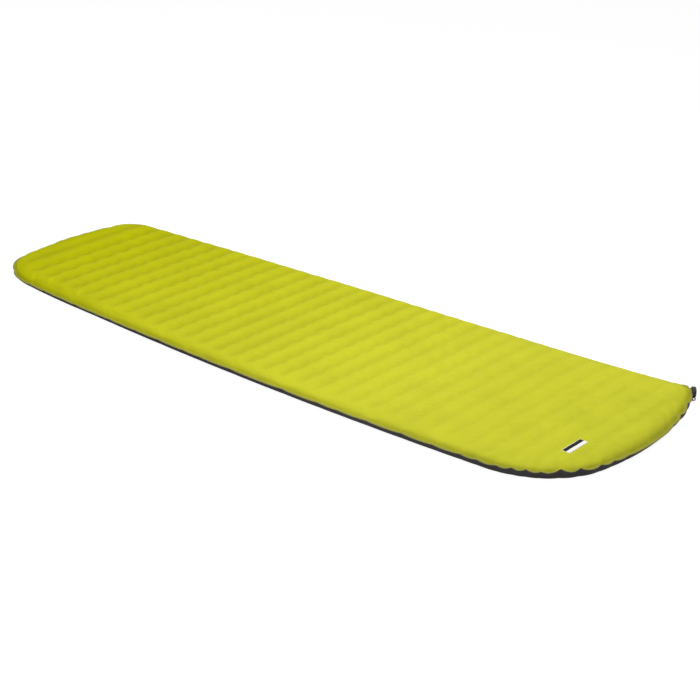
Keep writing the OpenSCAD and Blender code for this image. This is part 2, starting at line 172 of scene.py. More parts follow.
def from_place(s0):
    """Distance of every profile point from the place s0, the short way round."""
    return (profile_s - s0 + RIM_LENGTH / 2) % RIM_LENGTH - RIM_LENGTH / 2


def smooth_profile(anchors, spread):
    """A value along the rim, from x, y and value at a few places, blurred over the spread."""
    places = sorted((rim_length_at(x, y), value) for x, y, value in anchors)
    profile = np.interp(profile_s, *zip(*places), period=RIM_LENGTH)
    blur = np.exp(-(from_place(0) / spread) ** 2)
    return np.real(np.fft.ifft(np.fft.fft(profile) * np.fft.fft(blur / blur.sum())))


print(len(rim), "rim points,", len(profile_s), "values in a profile")

# %% [markdown]
# ## Seam, crown and belly
# The weld doesn't lie at one height: it wanders between a quarter and most of the pad's thickness and
# rises to the valve. Three profiles say how high the seam lies, how far in from the rim the top
# sheet reaches its full height, and how far the bottom sheet bellies out under the weld. One height
# all round would be simpler, but the dark sheet would then show evenly along the whole near side.

# %% Seam, crown and belly
seam_height = smooth_profile(
    ((-870, -192, 16), (-820, -235, 9), (-748, -260, 8.5), (-560, -275, 9.5), (-300, -310, 12),
     (300, -322, 13), (640, -321, 13.5), (780, -295, 15), (860, -215, 16), (890, -150, 15),
     (912, -50, 13), (908, 110, 10), (893, 230, 11), (875, 290, 17), (848.5, 335.8, 22),
     (830, 357, 25), (813, 368.5, 19), (795, 372, 13), (700, 368, 9.5), (300, 345, 10),
     (-700, 290, 12), (-880, 170, 11), (-905, -60, 10.5)), spread=10)
crown_inset = smooth_profile(
    ((-700, -255, 48), (0, -316, 44), (640, -321, 48), (860, -215, 54), (912, -50, 54),
     (893, 240, 60), (848.5, 335.8, 62), (730, 370, 78), (500, 357, 90), (250, 342, 74),
     (0, 328, 54), (-500, 298, 46), (-880, 170, 54), (-905, -60, 54)), spread=60)
belly = smooth_profile(
    ((-770, -250, 2), (-690, -262, 5), (-600, -268, 5.5), (-480, -282, 2), (640, -321, 2),
     (860, -215, 2.5), (912, -50, 3.5), (903, 160, 2), (894, 210, 6), (880, 270, 7.5),
     (868, 306, 5), (848.5, 335.8, 0), (820, 362, 2), (300, 345, 3), (-880, 170, 3)), spread=12)
print("crown", crown_inset.min().round(), "to", crown_inset.max().round(), "mm in from the rim")

# %% [markdown]
# ## Puckers and the valve's mouth
# On a real pad the weld is a flat ribbon, longer than the puffed body inside it wants, so it gathers
# into puckers: sharp little peaks with round lobes between. Cloth simulation could find them, but not
# in the places where this pad has them. So two more profiles say where a pucker lifts the seam and
# draws it in, and how wide the two sheets open round the valve's weld fin.

# %% Puckers and the valve's mouth
dice = np.random.default_rng(7)
# Puckers seen at the head and on the near side: x, y, lift and half width
PUCKERS = (
    (724, -298, 4, 11), (757, -293, 6, 11), (784, -280, 6.5, 11), (815, -270, 4, 10),
    (842, -237, 10, 13), (871, -202, 8, 12), (896, -151, 6, 12), (905, -109, 4, 12),
    (911, -58, 2, 14), (903, 160, 4, 12), (893, 215, 8, 11), (879, 273, 9, 10),
    (-16, -294, 1.8, 20), (144, -305, 2.4, 18), (248, -310, 2, 18), (307, -312, 1.6, 18),
    (385, -318, 2.2, 20), (483, -323, 2.4, 18), (566, -326, 1.8, 18), (636, -313, 2.8, 15),
    (679, -299, 3, 12), (-835, -222, 6, 7), (-785, -246, 1.2, 6), (-742, -256, 1.4, 6),
    (-680, -262, 1.4, 6), (-562, -270, 1.2, 7), (-430, -285, 1.6, 10), (-255, -300, 1.8, 12))
places = [(rim_length_at(x, y), lift, half) for x, y, lift, half in PUCKERS]
# Smaller ones at uneven steps along the far side, the foot and the rest of the near side
s = rim_length_at(740, 372)
last = rim_length_at(-60, -315)
while s < last:
    places.append((s, dice.uniform(0.4, 1.4), dice.uniform(10, 18)))
    s += dice.uniform(34, 66)
peaks = [lift * np.exp(-np.abs(from_place(s0)) / half) for s0, lift, half in places]
pucker_lift = np.max(peaks, axis=0)

VALVE, VALVE_HEIGHT = (848.510, 335.784), 22
# Half opening of the mouth at four distances from the valve's middle
MOUTH_AT, MOUTH_OPEN = (0, 9, 18, 24), (8.15, 6.55, 0.95, 0)
valve_s = rim_length_at(*VALVE)
from_valve = np.abs(from_place(valve_s))
mouth = np.interp(from_valve, MOUTH_AT, MOUTH_OPEN)
# Round the valve the seam lies level with its fin, without puckers
beside = np.clip((from_valve - 20) / 12, 0, 1)
seam_height = VALVE_HEIGHT + (seam_height - VALVE_HEIGHT) * beside
pucker_lift *= beside
print(len(places), "puckers; seam from", seam_height.min().round(1), "to", seam_height.max().round(1), "mm")

# %% [markdown]
# ## Cross channels
# The foam is die-cut in rows, and the sheet sinks into each row as a shallow channel. At the foot the
# loaves between channels are round; towards the head the channels narrow to thin lines. They fade out
# before the rim, further in on the near side, and swell and shrink along their length like beads. A
# bump map could fake them, but then they would vanish in a side view, so they are part of the height.

# %% Cross channels
FIRST_CHANNEL, PITCH, CHANNELS = 839, 52, 32
HALF_PITCH = PITCH / 2
CHANNEL_X = FIRST_CHANNEL - PITCH * np.arange(CHANNELS)
LINE_WIDTH, BEADING = 2.5, 0.3
bead_length = dice.uniform(43, 65, CHANNELS)
bead_start = dice.uniform(0, 2 * math.pi, CHANNELS)


def smooth_step(v, low, high):
    """0 below low, 1 above high, with a soft rise between."""
    t = np.clip((v - low) / (high - low), 0, 1)
    return t * t * (3 - 2 * t)


def nearest_channel(x):
    """Number of the channel nearest to x, counted from the head."""
    return np.clip(np.round((FIRST_CHANNEL - x) / PITCH), 0, CHANNELS - 1).astype(int)


def channel_fade(inset, turn):
    """How much of a channel is left near the rim, from 0 to 1."""
    near = 0.5 - 0.5 * np.sin(turn)
    return smooth_step(inset, 14 + 6 * near, 42 + 14 * near)


def channel_depth(xy, inset, turn):
    """How far the top sheet sinks at points of the plan."""
    x, y = xy.T
    k = nearest_channel(x)
    off = np.hypot(x - CHANNEL_X[k], LINE_WIDTH)
    # Square makes round loaves, a higher power leaves flat loaves with a thin line between
    power = np.interp(x, [-780, -200, 200, 520, 820], [2.0, 2.2, 3.2, 5.5, 6.5])
    depth = np.interp(x, [-780, -300, 150, 480, 820], [6.4, 6.2, 5.2, 3.0, 2.1])
    beads = 1 + BEADING * np.sin(2 * math.pi * y / bead_length[k] + bead_start[k])
    return depth * beads * channel_fade(inset, turn) * np.maximum(1 - off / HALF_PITCH, 0) ** power


print(CHANNELS, "channels from x", CHANNEL_X[0], "to", CHANNEL_X[-1], "mm")

# %% [markdown]
# ## Painted shading of the coat
# The coat's colour carries painted shade where the cloth is drawn down: in the channels, a little to
# the head side of their deepest line, and in a strip beside the weld. Along a sharp crease it carries a
# painted highlight instead. Light alone gives part of this, but soft light gives too little. The painted
# shading is worked out here for every point of the mesh, from 0 on a loaf to about 1 in a channel, and
# the material uses it later.

# %% Painted shading of the coat
# Three thin creases on the near shoulder of the foot: x, y, direction in degrees and half length
CREASES = ((-748, -243, 125, 15), (-690, -238, 115, 13), (-580, -247, 120, 20))
CREASE_HEIGHT, CREASE_WIDTH = 1.5, 3.4


def creases(xy):
    """Height of the creases' ridges."""
    height = np.zeros(len(xy))
    for x, y, degrees, half in CREASES:
        c, s = math.cos(math.radians(degrees)), math.sin(math.radians(degrees))
        along, across = (xy - (x, y)) @ (c, s), (xy - (x, y)) @ (-s, c)
        height += CREASE_HEIGHT * np.exp(-(across / CREASE_WIDTH) ** 2 - (along / half) ** 2)
    return height


def off_channel(x):
    """Distance from x to the nearest line of the channels' even row."""
    return np.abs((x - FIRST_CHANNEL + HALF_PITCH) % PITCH - HALF_PITCH)


def painted_coat_shading(xy, inset, turn):
    """Painted shading at points of the plan: painted shade in the channels and beside the weld, painted
    highlight on the creases.
    """
    x = xy[:, 0]
    off = off_channel(x - np.interp(x, [0, 400], [1, 5]))
    power = np.interp(x, [-780, 0, 300, 820], [1.6, 1.8, 2.8, 4.5])
    strength = np.interp(x, [-780, 0, 340, 820], [1.12, 0.95, 0.62, 0.46])
    # Painted shade in the channels, a little to the head side of their deepest line
    channel = strength * channel_fade(inset, turn) * (1 - off / HALF_PITCH) ** power
    # Painted shade in a strip beside the weld, stronger and wider towards the head
    head = smooth_step(x, 350, 750)
    painted_weld_shade = (1.1 + 0.5 * head) * np.exp(-(np.maximum(inset - 8, 0) / (3.6 + 5 * head)) ** 2)
    # Painted highlight: the crease ridges are made paler
    return channel + painted_weld_shade - 0.9 * creases(xy)


print(len(CREASES), "creases,", CREASE_HEIGHT, "mm high")

# %% [markdown]
# ## Height of the two sheets
# From the flat weld the top sheet swells up to the crown and the bottom sheet turns steeply down to
# the floor. A simulation could inflate both from flat, but its crown might miss the part's thickness.
# So one function gives each sheet's height at any point of the plan, and the label, the foam and the
# sheets all agree.

# %% Height of the two sheets
FLANGE, SHEET = 7, 0.6
# Height of the crown, power of the swell up to it, and plan width of the bottom sheet's steep wall
CROWN, PUFF, WALL = 30.4, 3.4, 3.4
# Slow waves over the whole pad: direction, length and start of each
swell = [(dice.uniform(0, 2 * math.pi), dice.uniform(150, 420), dice.uniform(0, 2 * math.pi))
         for _ in range(7)]


def slow_waves(xy):
    """Gentle unevenness of a filled pad, about half a millimetre."""
    return 0.16 * sum(np.sin((xy[:, 0] * math.cos(a) + xy[:, 1] * math.sin(a)) * 2 * math.pi / w + p)
                      for a, w, p in swell)


def top_height(xy, inset, s, turn):
    """Height of the top sheet's outside."""
    lift = along_rim(s, pucker_lift)
    low = along_rim(s, seam_height + mouth) + lift * np.exp(-(inset / 13) ** 2)
    up = np.clip((inset - FLANGE) / (along_rim(s, crown_inset) - FLANGE), 0, 1)
    rise = 1 - (1 - up) ** PUFF
    # Inside each pucker the sheet is drawn down a little
    dent = 0.4 * lift * np.exp(-((inset - 20) / 13) ** 2)
    body = low + (CROWN + slow_waves(xy) - low) * rise + SHEET
    return body + creases(xy) - dent - channel_depth(xy, inset, turn)


def bottom_height(xy, inset, s, turn):
    """Height of the bottom sheet's outside; a quarter of each channel also shows underneath."""
    low = along_rim(s, seam_height - mouth) + along_rim(s, pucker_lift) * np.exp(-(inset / 9) ** 2)
    down = np.clip((inset - FLANGE) / WALL, 0, 1)
    field = 0.25 * channel_depth(xy, inset, turn)
    return np.maximum((low - SHEET) * (1 - down) ** 1.4, 0) + field * smooth_step(inset, 30, 60)


print("crown", CROWN + SHEET, "mm above the floor, weld", FLANGE, "mm wide")

# %% [markdown]
# ## A flat plan mesh
# All soft pieces start as the same kind of flat mesh: rings that follow the rim, so that puckers get
# clean edge loops, and inside them a grid in step with the channels. Blender's triangle fill closes
# the narrow gap between the two. A voxel remesh would be quicker to write but would eat the thin weld.

# %% A flat plan mesh
# How far the grid reaches from the first channel to foot and head, and from the middle to both sides
GRID_X, GRID_Y = (1720, 60), (330, 370)


def ring_points(insets, rim_step):
    """Points of rings at several insets, with closer steps at the valve, and how many each ring has."""
    count = int(RIM_LENGTH / rim_step)
    s = np.arange(count) * RIM_LENGTH / count
    s = np.sort(np.r_[s[np.abs(s - valve_s) > 26], valve_s + np.arange(-24, 25, 2)])
    x, y, a = (np.interp(s, rim_s, rim[:, c]) for c in range(3))
    return [np.c_[x - d * np.cos(a), y - d * np.sin(a)] for d in insets], len(s)


def plan_mesh(insets, dx, dy, rim_step=4.6, keep=None):
    """Flat bmesh in millimetres with inset rings and an inner grid; keep(x, y) can leave cells out."""
    verts, count = ring_points(insets, rim_step)
    faces = []
    for inner in range(count, count * len(insets), count):
        for i in range(count):
            j = (i + 1) % count
            faces.append((inner - count + i, inner - count + j, inner + j, inner + i))
    # Where cells are left out, the grid shifts by half a cell, so the first channel lies in mid cell
    shift = 0.5 * (keep is not None)
    columns = np.arange(-math.ceil(GRID_X[0] / dx), math.ceil(GRID_X[1] / dx)) + shift
    rows = np.arange(-math.ceil(GRID_Y[0] / dy), math.ceil(GRID_Y[1] / dy))
    grid = np.stack(np.meshgrid(FIRST_CHANNEL + dx * columns, dy * rows, indexing="ij"), -1)
    inside = on_plan(grid.reshape(-1, 2))[0].reshape(grid.shape[:2]) > insets[-1] + 4
    cell = inside[:-1, :-1] & inside[1:, :-1] & inside[1:, 1:] & inside[:-1, 1:]
    used = np.zeros_like(inside)
    for i, j in ((0, 0), (1, 0), (1, 1), (0, 1)):
        used[i:i + cell.shape[0], j:j + cell.shape[1]] |= cell
    number = np.full(inside.shape, -1)
    number[used] = np.arange(used.sum()) + count * len(insets)
    verts = np.concatenate(verts + [grid[used]])
    corner = np.stack([number[:-1, :-1], number[1:, :-1], number[1:, 1:], number[:-1, 1:]], -1)
    faces += [tuple(f) for f in corner[cell].tolist()]
    mesh = bpy.data.meshes.new("plan")
    mesh.from_pydata(np.c_[verts, np.zeros(len(verts))].tolist(), [], faces)
    bm = bmesh.new()
    bm.from_mesh(mesh)
    bpy.data.meshes.remove(mesh)
    gap = [e for e in bm.edges if e.is_boundary and max(v.index for v in e.verts) >= count]
    bmesh.ops.triangle_fill(bm, use_beauty=True, use_dissolve=False, edges=gap, normal=(0, 0, 1))
    if keep is not None:
        out = [f for f in bm.faces if not keep(*f.calc_center_median()[:2])]
        bmesh.ops.delete(bm, geom=out, context="FACES")
    for f in bm.faces:
        f.normal_update()
        if f.normal.z < 0:
            f.normal_flip()
    return bm


print("grid of", sum(GRID_X), "x", sum(GRID_Y), "mm before it is cut to the rim")

# %% [markdown]
# ## From plan to piece
# Two helpers turn a plan into a piece. The first lifts every point to its height, draws the puckers in
# and lets the wall belly out. The second makes the mesh an object in metres that rides on the pad's
# body. A Displace modifier could do the lifting, but it can't pull points sideways.

# %% From plan to piece
PULL, PULL_REACH = 0.6, 16
BELLY_INSET, BELLY_SPREAD = 9, 1.7


def lift_to(bm, height, bulge=0, moves=None):
    """Lift a flat plan and add the moves of settled cloth; returns each point's inset and painted shading.
    """
    xy = np.array([v.co[:2] for v in bm.verts])
    inset, s, turn = on_plan(xy)
    inset = np.maximum(inset, 0)
    z = height(xy, inset, s, turn)
    # Painted shade in channels and beside the weld, painted highlight on creases
    tone = painted_coat_shading(xy, inset, turn)
    extra = moves(xy) if moves else np.zeros((len(xy), 3))
    pulled_in = PULL * along_rim(s, pucker_lift) * np.exp(-inset / PULL_REACH)
    pushed_out = bulge * along_rim(s, belly) * np.exp(-((inset - BELLY_INSET) / BELLY_SPREAD) ** 2)
    xy = xy + (pushed_out - pulled_in)[:, None] * np.c_[np.cos(turn), np.sin(turn)]
    for v, p, h, m in zip(bm.verts, xy, z, extra):
        v.co = (p[0] + m[0], p[1] + m[1], h + m[2])
    return inset, tone


def object_from(bm, name):
    """Turn a bmesh in millimetres into an object in metres."""
    bmesh.ops.scale(bm, vec=(MM, MM, MM), verts=bm.verts)
    mesh = bpy.data.meshes.new(name)
    bm.to_mesh(mesh)
    bm.free()
    made = bpy.data.objects.new(name, mesh)
    bpy.context.scene.collection.objects.link(made)
    return made


def piece_from(bm, name, smooth=True):
    """Turn a bmesh in millimetres into a piece that rides on the pad."""
    piece = object_from(bm, name)
    piece.data.polygons.foreach_set("use_smooth", [smooth] * len(piece.data.polygons))
    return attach(piece, "pad")


print("a pucker draws the rim in by", PULL, "of its lift")

# %% [markdown]
# ## Settling the cloth
# Real cloth has a little more length than the form it covers, and air pushes that surplus into small
# folds: between the channels, beside the puckers and along the shoulder. A coarse copy of the top
# sheet goes through a short cloth simulation: held along the weld and the channels, two per cent too
# large, under light pressure and without gravity. Only how far each point moved is kept, six
# millimetres at most. Inside, the foam keeps the sheet from sinking.

# %% Settling the cloth
LABEL_X, LABEL_Y, LABEL = 813, -131, (22, 78)
FRAMES, SURPLUS, PRESSURE, MOST_MOVE = 20, 0.02, 5, 6
CLOTH = {"vertex_group_mass": "held", "mass": 0.15, "quality": 6, "use_pressure": True,
         "uniform_pressure_force": PRESSURE, "shrink_min": -SURPLUS, "tension_stiffness": 20,
         "compression_stiffness": 20, "bending_stiffness": 0.05, "air_damping": 3}


def simulate(sheet, held):
    """Run the cloth simulation on an object, with some points held; returns the points it ends at."""
    sheet.vertex_groups.new(name="held").add(np.flatnonzero(held).tolist(), 1.0, "REPLACE")
    cloth = sheet.modifiers.new("settling", "CLOTH")
    for name, value in CLOTH.items():
        setattr(cloth.settings, name, value)
    cloth.settings.effector_weights.gravity = 0
    cloth.collision_settings.use_collision = False
    cloth.point_cache.frame_start, cloth.point_cache.frame_end = 1, FRAMES
    for f in range(1, FRAMES + 1):
        bpy.context.scene.frame_set(f)
    settled = sheet.evaluated_get(bpy.context.evaluated_depsgraph_get()).data
    points = np.array([v.co[:] for v in settled.vertices])
    bpy.context.scene.frame_set(1)
    return points


def settle_cloth():
    """Simulate a coarse copy of the top sheet; returns its plan points and their moves in millimetres."""
    bm = plan_mesh((0, 4, 7, 10, 14, 19, 25, 32, 40, 48), 6.5, 8, rim_step=8)
    flat = np.array([v.co[:2] for v in bm.verts])
    inset, _ = lift_to(bm, top_height)
    turn = on_plan(flat)[2]
    start = np.array([v.co[:] for v in bm.verts])
    sheet = object_from(bm, "settling_sheet")
    in_channel = (off_channel(flat[:, 0]) < 1) & (channel_fade(inset, turn) > 0.3)
    held = (inset < FLANGE + 0.5) | in_channel
    moved = simulate(sheet, held) / MM - start
    # The coarse mesh also crumples at its own spacing; averaging with the neighbours leaves broader folds
    ends = np.array([e.vertices[:] for e in sheet.data.edges])
    bpy.data.objects.remove(sheet)
    total, count = moved.copy(), np.ones(len(moved))
    for a, b in (ends.T, ends.T[::-1]):
        np.add.at(total, a, moved[b])
        np.add.at(count, a, 1)
    moved = np.where(held[:, None], 0, total / count[:, None])
    moved *= np.minimum(1, MOST_MOVE / np.maximum(np.linalg.norm(moved, axis=1), 1e-6))[:, None]
    # From 30 mm in the foam carries the sheet; nearer the rim it may sink a little more
    moved[:, 2] = np.maximum(moved[:, 2], np.where(inset > 30, -1, -4))
    # The far shoulder is drawn tight, and the sewn label keeps the cloth under it flat
    far = np.clip(np.sin(turn), 0, 1) * (1 - smooth_step(inset, 60, 110))
    beyond_x = np.abs(flat[:, 0] - LABEL_X) - LABEL[0] / 2
    beyond_y = np.abs(flat[:, 1] - LABEL_Y) - LABEL[1] / 2
    free = smooth_step(np.maximum(beyond_x, beyond_y), 2, 22)
    return flat, moved * ((1 - 0.75 * far) * free)[:, None]


settled_at, settled_by = settle_cloth()
print("settled", len(settled_at), "points, by up to", np.abs(settled_by).max().round(1), "mm")

# %% [markdown]
# ## Moves for a finer mesh
# The fine sheet, the foam and the label all take the same moves, so they stay in step. Each point
# blends the moves of the four simulated points nearest to it. A Surface Deform modifier could carry
# the moves too, but it would have to be bound to each piece and applied.

# %% Moves for a finer mesh
settled_tree = search_tree(settled_at)


def cloth_moves(xy):
    """Moves of the settled cloth at points of the plan."""
    moves = []
    for x, y in xy:
        near = settled_tree.find_n((x, y, 0), 4)
        weight = np.array([1 / (distance + 0.3) ** 2 for _, _, distance in near])
        moves.append(weight @ settled_by[[k for _, k, _ in near]] / weight.sum())
    return np.array(moves)


print("move in the middle of the pad, mm:", cloth_moves(np.zeros((1, 2)))[0].round(2))

# %% [markdown]
# ## Top and bottom sheet
# Each sheet is lifted from its plan and given the cloth's thickness inwards with a Solidify modifier.
# The weld and the coat's painted shading are written on the mesh as attributes, so that the material can
# show the pressed, duller ribbon, painted shade in the channels and beside the weld, and painted highlight
# on the creases.

# %% Top and bottom sheet
top_bm = plan_mesh((0, 1.5, 3.5, 5.5, 7.5, 9.5, 12, 15, 18.5, 22.5, 27, 32, 38, 45, 53), 3.25, 8)
top_inset, top_painted_shading = lift_to(top_bm, top_height, moves=cloth_moves)
pad_top = piece_from(top_bm, "pad_top")
bottom_bm = plan_mesh((0, 1.5, 3.5, 5.5, 7, 7.6, 8.2, 8.9, 9.6, 10.4, 12, 17, 26, 39, 53), 6.5, 16)
bottom_inset, bottom_painted_shading = lift_to(bottom_bm, bottom_height, bulge=1)
for f in bottom_bm.faces:
    f.normal_flip()
pad_bottom = piece_from(bottom_bm, "pad_bottom")

# How strongly the ribbon shows at five insets
RIBBON_AT, RIBBON = (0, 1.2, 2.4, 6, 8), (1, 0.9, 0.7, 0.5, 0)
for piece, inset, tone, node, slot in (
        (pad_top, top_inset, top_painted_shading, "top_sheet", "top_cloth"),
        (pad_bottom, bottom_inset, bottom_painted_shading, "bottom_sheet", "bottom_cloth")):
    weld = piece.data.attributes.new("weld", "FLOAT", "POINT")
    weld.data.foreach_set("value", np.interp(inset, RIBBON_AT, RIBBON))
    # The painted shading attribute: painted shade in channels and beside the weld, painted highlight on
    # creases
    channel = piece.data.attributes.new("channel", "FLOAT", "POINT")
    channel.data.foreach_set("value", tone)
    cloth = piece.modifiers.new("cloth thickness", "SOLIDIFY")
    cloth.thickness = SHEET * MM
    cloth.offset = -1
    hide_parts(node)
    print(piece.name, len(piece.data.vertices), "points")

# %% [markdown]
# ## Foam core
# Inside lies open-cell foam with rows of die-cut slots under the channels. It hardly shows, but the
# pad should be whole when someone cuts it open. It takes the top sheet's form a little lower down.
# Boolean cuts would give every slot its exact width, but they are slow on so many. Here the slots are
# cells of the grid, left out before the slab gets its thickness, so a slot is one or two cells wide.

# %% Foam core
FOAM_INSET, FOAM_THICK, UNDER_SHEET, FOAM_CLEAR = 33, 23, 2, 3.4
SLOT_WIDTH, SLOT_LENGTH, SLOT_PITCH = 8, 62, 92
SLOTS_FROM, SLOTS_TO = -230, 270


def solid_foam(x, y):
    """False inside a slot; slots in neighbouring rows are staggered by half a pitch."""
    k = nearest_channel(x)
    if abs(x - CHANNEL_X[k]) > SLOT_WIDTH / 2 or not SLOTS_FROM < y < SLOTS_TO:
        return True
    half = SLOT_PITCH / 2
    return abs((y - half * (k % 2) + half) % SLOT_PITCH - half) > SLOT_LENGTH / 2


foam_bm = plan_mesh((FOAM_INSET, 38, 45, 54), 8, 10, rim_step=9, keep=solid_foam)
lift_to(foam_bm, lambda *at: top_height(*at) - UNDER_SHEET, moves=cloth_moves)
foam_slab = piece_from(foam_bm, "foam_slab", smooth=False)
# At the rim and in the channels the slab is cut thinner, so that it ends above the bottom sheet
depth = foam_slab.vertex_groups.new(name="depth")
for v in foam_slab.data.vertices:
    depth.add([v.index], min((v.co.z / MM - FOAM_CLEAR) / FOAM_THICK, 1), "REPLACE")
slab = foam_slab.modifiers.new("foam thickness", "SOLIDIFY")
slab.thickness = FOAM_THICK * MM
slab.vertex_group = "depth"
slab.offset = -1
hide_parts("foam_core")
print("foam slab", len(foam_slab.data.vertices), "points before thickness")

# %% [markdown]
# ## Blank label
# A small woven label is sewn on a loaf near the head. It is a thin patch that follows the cloth, with
# its edges pressed down. It stays blank: a plain dark band is all. A flat plane would float over the
# curved cloth, so every point of a fine grid is set down on the sheet.

# %% Blank label
LABEL_LIFT, EDGE_PRESS, EDGE_REACH = 0.55, 0.3, 0.8


def cloth_top(x, y):
    """Height of the top sheet's outside at one point."""
    at = np.array([[x, y]], float)
    inset, s, turn = on_plan(at)
    return float(top_height(at, inset, s, turn)[0] + cloth_moves(at)[0, 2])


label_bm = bmesh.new()
bmesh.ops.create_grid(label_bm, x_segments=12, y_segments=40, size=0.5)
for v in label_bm.verts:
    u, w = v.co.x, v.co.y
    edge = min((0.5 - abs(u)) * LABEL[0], (0.5 - abs(w)) * LABEL[1])
    x, y = LABEL_X + u * LABEL[0], LABEL_Y + w * LABEL[1]
    v.co = (x, y, cloth_top(x, y) + LABEL_LIFT - EDGE_PRESS * math.exp(-edge / EDGE_REACH))
label_patch = piece_from(label_bm, "label_patch")
label_patch.modifiers.new("weave thickness", "SOLIDIFY").thickness = 0.0003
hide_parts("label")
print("label", LABEL[0], "x", LABEL[1], "mm")

# %% [markdown]
# ## Stitches
# A row of lock stitches holds the label down, one every three millimetres, a little inside its edge.
# Each is a small lens of thread that lies along the seam. A dashed line in the label's material would
# be lighter, but it would look printed from close by.

# %% Stitches
STITCH_STEP, SEAM_ALLOWANCE = 3, 1.3
STITCH_SHAPE = Matrix.Diagonal((1.1, 0.3, 0.25, 1))
half_x, half_y = (side / 2 - SEAM_ALLOWANCE for side in LABEL)
loop = [(x, -half_y, 0) for x in np.arange(-half_x, half_x - 1, STITCH_STEP)]
loop += [(half_x, y, 90) for y in np.arange(-half_y, half_y - 1, STITCH_STEP)]
loop += [(x, half_y, 0) for x in np.arange(half_x, -half_x + 1, -STITCH_STEP)]
loop += [(-half_x, y, 90) for y in np.arange(half_y, -half_y + 1, -STITCH_STEP)]

stitch_bm = bmesh.new()
for x, y, angle in loop:
    lens = bmesh.ops.create_uvsphere(stitch_bm, u_segments=8, v_segments=6, radius=1)["verts"]
    place = Vector((LABEL_X + x, LABEL_Y + y, cloth_top(LABEL_X + x, LABEL_Y + y) + LABEL_LIFT))
    along_seam = Matrix.Rotation(math.radians(angle), 4, "Z")
    bmesh.ops.transform(stitch_bm, verts=lens, matrix=Matrix.Translation(place) @ along_seam @ STITCH_SHAPE)
label_stitches = piece_from(stitch_bm, "label_stitches")
print(len(loop), "stitches")

# %% [markdown]
# ## Colours and shader nodes
# Colours are written as sRGB hex, the way a paint chart gives them, and turned to the linear values
# that Blender works in. One small helper adds a shader node, sets it and links it, which keeps each
# material to a few readable lines.

# %% Colour and node helpers
# Sockets that share a name are reached by number: factor, both colours and the result of a Mix node
FACTOR, COLOUR_A, COLOUR_B, MIXED = 0, 6, 7, 2


def colour(code):
    """Linear RGBA of an sRGB hex code."""
    parts = [int(code[i:i + 2], 16) / 255 for i in (0, 2, 4)]
    return tuple(c / 12.92 if c <= 0.04045 else ((c + 0.055) / 1.055) ** 2.4 for c in parts) + (1.0,)


def add(material, kind, inputs=None, **settings):
    """Add a node. inputs maps sockets to values, or to (node, output) pairs to link."""
    node = material.node_tree.nodes.new("ShaderNode" + kind)
    for name, value in settings.items():
        setattr(node, name, value)
    for socket, value in (inputs or {}).items():
        if isinstance(value, tuple) and isinstance(value[0], bpy.types.Node):
            material.node_tree.links.new(value[0].outputs[value[1]], node.inputs[socket])
        else:
            node.inputs[socket].default_value = value
    return node


def new_material(name):
    """A material with an empty tree, and its object coordinates in metres."""
    material = bpy.data.materials.new(name)
    material.use_nodes = True
    material.node_tree.nodes.clear()
    return material, (add(material, "TexCoord"), "Object")


def finish_material(material, shader):
    """Link a shader to the material's output."""
    add(material, "OutputMaterial", {"Surface": (shader, 0)})
    print("material", material.name)
    return material


def wave_scale(period_mm):
    """Scale of a Wave texture whose bands repeat every period_mm."""
    return math.pi / 10 / (period_mm * MM)


print("mid grey in linear light:", round(colour("808080")[0], 3))

# %% [markdown]
# ## Coated polyester
# Both sheets are plain-woven polyester with a thin matt coat. The weave gives a fine tooth, the coat a
# soft, broad shine, and handling leaves faint crinkles and slow shifts of tone. The colour darkens
# towards the foot, a painted shade, and on the lime sheet turns paler and bluer towards the head, a
# painted sheen. The threads are about 0.25 mm apart, far too fine for the picture, so the weave is drawn
# at 1.6 mm. The weld is pressed flat between hot bars and looks duller.

# %% Coated polyester
WEAVE = wave_scale(1.6)
# Slow patches about 110 mm across, and crinkles about 14 mm apart
PATCHES, CRINKLES = 9.0, 70.0


